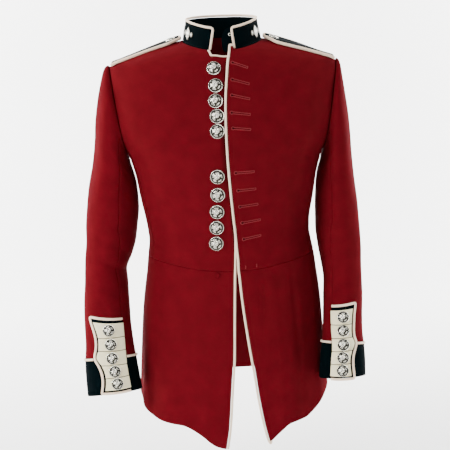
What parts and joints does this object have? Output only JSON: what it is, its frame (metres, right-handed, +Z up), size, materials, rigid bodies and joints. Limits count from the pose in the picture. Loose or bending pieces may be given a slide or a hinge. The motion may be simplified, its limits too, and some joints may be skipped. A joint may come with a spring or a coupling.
{
  "type": "military dress tunic",
  "caption": "Single-breasted military dress tunic, worn and hollow, with stand collar, shoulder straps, piped edges, slashed and looped cuffs, and skirts open below the waist.",
  "frame": {"origin": "middle of the neck ring, level with the sides of the neck, where the wearer's shoulders carry the tunic", "axes": "+Z up, -Y the tunic's front, +X the wearer's left"},
  "size_m": [0.5263, 0.2791, 0.7883],
  "materials": {
    "red_melton": "napped scarlet melton wool, matt with a soft sheen",
    "blue_cloth": "midnight-blue facing cloth, matt",
    "cream_cloth": "cream piping cloth and tape, matt",
    "silver_plate": "silver-plated, polished, with relief",
    "white_metal": "white metal, satin"
  },
  "bodies": {
    "root": {"back_left": "red_melton", "back_right": "red_melton", "collar": "blue_cloth", "collar_ornament_left": "white_metal", "collar_ornament_right": "white_metal", "collar_piping": "cream_cloth", "collar_tab": "blue_cloth", "cuff_button_left_1": "silver_plate", "cuff_button_left_2": "silver_plate", "cuff_button_left_3": "silver_plate", "cuff_button_left_4": "silver_plate", "cuff_button_left_5": "silver_plate", "cuff_button_right_1": "silver_plate", "cuff_button_right_2": "silver_plate", "cuff_button_right_3": "silver_plate", "cuff_button_right_4": "silver_plate", "cuff_button_right_5": "silver_plate", "cuff_left": "blue_cloth", "cuff_loops_left": "cream_cloth", "cuff_loops_right": "cream_cloth", "cuff_piping_left": "cream_cloth", "cuff_piping_right": "cream_cloth", "cuff_right": "blue_cloth", "forepart_left": "red_melton", "forepart_right": "red_melton", "front_button_1": "silver_plate", "front_button_10": "silver_plate", "front_button_2": "silver_plate", "front_button_3": "silver_plate", "front_button_4": "silver_plate", "front_button_5": "silver_plate", "front_button_6": "silver_plate", "front_button_7": "silver_plate", "front_button_8": "silver_plate", "front_button_9": "silver_plate", "front_piping_left": "cream_cloth", "front_piping_right": "cream_cloth", "shoulder_strap_left": "blue_cloth", "shoulder_strap_right": "blue_cloth", "side_body_left": "red_melton", "side_body_right": "red_melton", "skirt_left": "red_melton", "skirt_right": "red_melton", "slash_left": "blue_cloth", "slash_piping_left": "cream_cloth", "slash_piping_right": "cream_cloth", "slash_right": "blue_cloth", "strap_button_left": "silver_plate", "strap_button_right": "silver_plate", "strap_piping_left": "cream_cloth", "strap_piping_right": "cream_cloth", "topsleeve_left": "red_melton", "topsleeve_right": "red_melton", "undersleeve_left": "red_melton", "undersleeve_right": "red_melton", "waist_button": "red_melton"}
  },
  "joints": []
}
